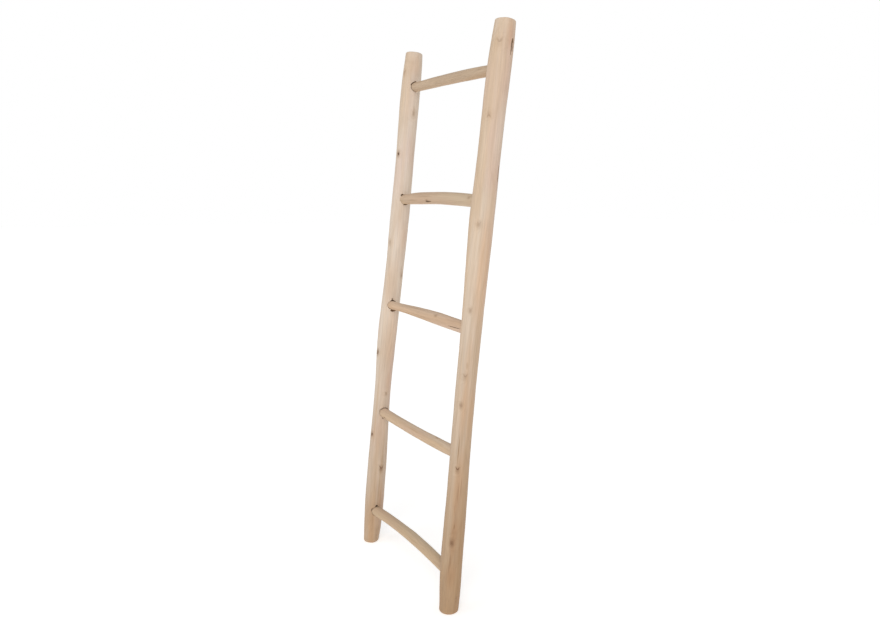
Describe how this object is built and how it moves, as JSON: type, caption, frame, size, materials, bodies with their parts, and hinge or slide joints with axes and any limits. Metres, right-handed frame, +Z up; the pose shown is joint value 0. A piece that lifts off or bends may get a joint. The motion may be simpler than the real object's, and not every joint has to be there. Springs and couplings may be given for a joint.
{
  "type": "decorative ladder",
  "caption": "Rustic leaning ladder of peeled round branches, with bowed rungs tenoned into two poles, for towels and blankets.",
  "frame": {"origin": "centre of the leaning ladder's footprint, on the floor under its feet", "axes": "+Z up, +X along the rungs to the pole on the right of the picture, +Y back to the wall; the ladder stands leaned back by 6.2 degrees, as in use"},
  "size_m": [0.5131, 0.2159, 1.4933],
  "materials": {
    "pole_wood": "raw peeled wood, unfinished",
    "rung_wood": "raw peeled wood, unfinished",
    "nail_steel": "plain steel wire"
  },
  "bodies": {
    "root": {"left_rail": "pole_wood", "right_rail": "pole_wood", "rung_1": "rung_wood", "rung_1_left_nail": "nail_steel", "rung_1_right_nail": "nail_steel", "rung_2": "rung_wood", "rung_2_left_nail": "nail_steel", "rung_2_right_nail": "nail_steel", "rung_3": "rung_wood", "rung_3_left_nail": "nail_steel", "rung_3_right_nail": "nail_steel", "rung_4": "rung_wood", "rung_4_left_nail": "nail_steel", "rung_4_right_nail": "nail_steel", "rung_5": "rung_wood", "rung_5_left_nail": "nail_steel", "rung_5_right_nail": "nail_steel"}
  },
  "joints": []
}
